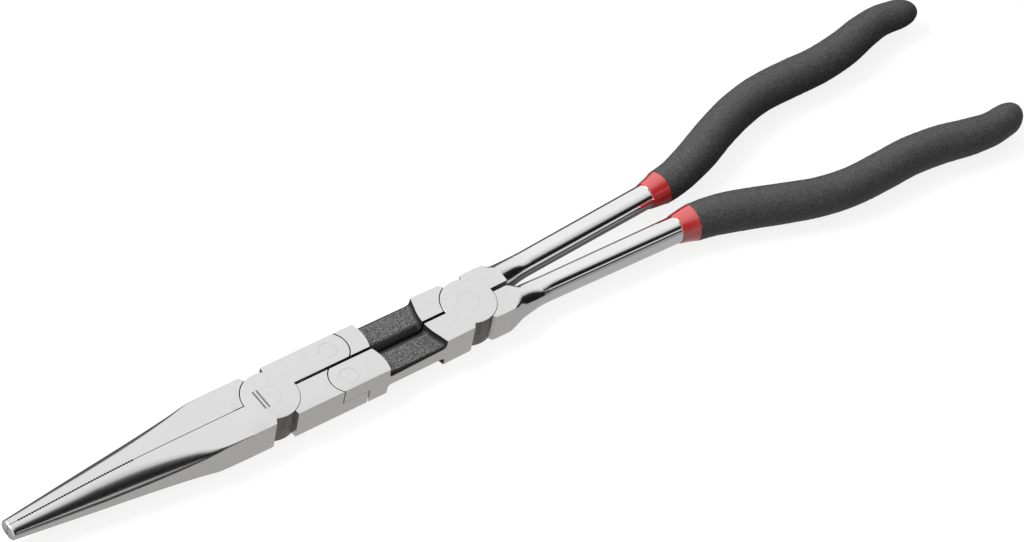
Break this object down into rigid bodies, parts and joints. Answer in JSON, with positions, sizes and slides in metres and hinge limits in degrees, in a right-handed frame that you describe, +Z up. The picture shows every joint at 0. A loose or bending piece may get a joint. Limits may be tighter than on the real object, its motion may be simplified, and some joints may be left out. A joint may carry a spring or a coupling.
{
  "type": "double-joint long-nose pliers",
  "caption": "Long-reach pliers with half-round serrated jaws, driven through a double-joint linkage by slim handles with dipped grips.",
  "frame": {"origin": "centre of the bounding box in plan, at the lowest point of the grips", "axes": "+X from the jaws towards the grips, +Z up and square to the flat of the tool, +Y to the right side with the jaws pointing away"},
  "size_m": [0.3394, 0.0598, 0.0118],
  "materials": {
    "jaw_steel": "ground and polished",
    "handle_steel": "ground flats, polished shanks, rough forged recesses",
    "pin_steel": "ground flush",
    "red_vinyl": "gloss",
    "black_vinyl": "matte, fine sandy grain"
  },
  "bodies": {
    "right_handle": {"right_handle": "handle_steel", "right_sleeve": "red_vinyl", "right_grip": "black_vinyl", "rear_rivet": "pin_steel", "left_link_pin": "pin_steel"},
    "left_handle": {"left_handle": "handle_steel", "left_sleeve": "red_vinyl", "left_grip": "black_vinyl"},
    "right_jaw": {"right_jaw": "jaw_steel"},
    "left_jaw": {"left_jaw": "jaw_steel", "front_rivet": "pin_steel", "right_link_pin": "pin_steel"}
  },
  "joints": [
    {"name": "rear_pivot", "type": "hinge", "parent": "right_handle", "child": "left_handle", "pos_m": [-0.0186, -0.00456, 0.0059], "axis": [0, 0, -1], "range_deg": [0, 19.6]},
    {"name": "left_link_pivot", "type": "hinge", "parent": "right_handle", "child": "right_jaw", "pos_m": [-0.06291, -0.00968, 0.0059], "axis": [0, 0, -1], "range_deg": [0, 29.6]},
    {"name": "front_pivot", "type": "hinge", "parent": "right_jaw", "child": "left_jaw", "pos_m": [-0.08566, -0.00456, 0.0059], "axis": [0, 0, 1], "range_deg": [0, 39.6]}
  ],
  "couplings": [
    {"joint": "left_link_pivot", "follows": "rear_pivot", "ratio": 1.51},
    {"joint": "front_pivot", "follows": "rear_pivot", "ratio": 2.02}
  ]
}
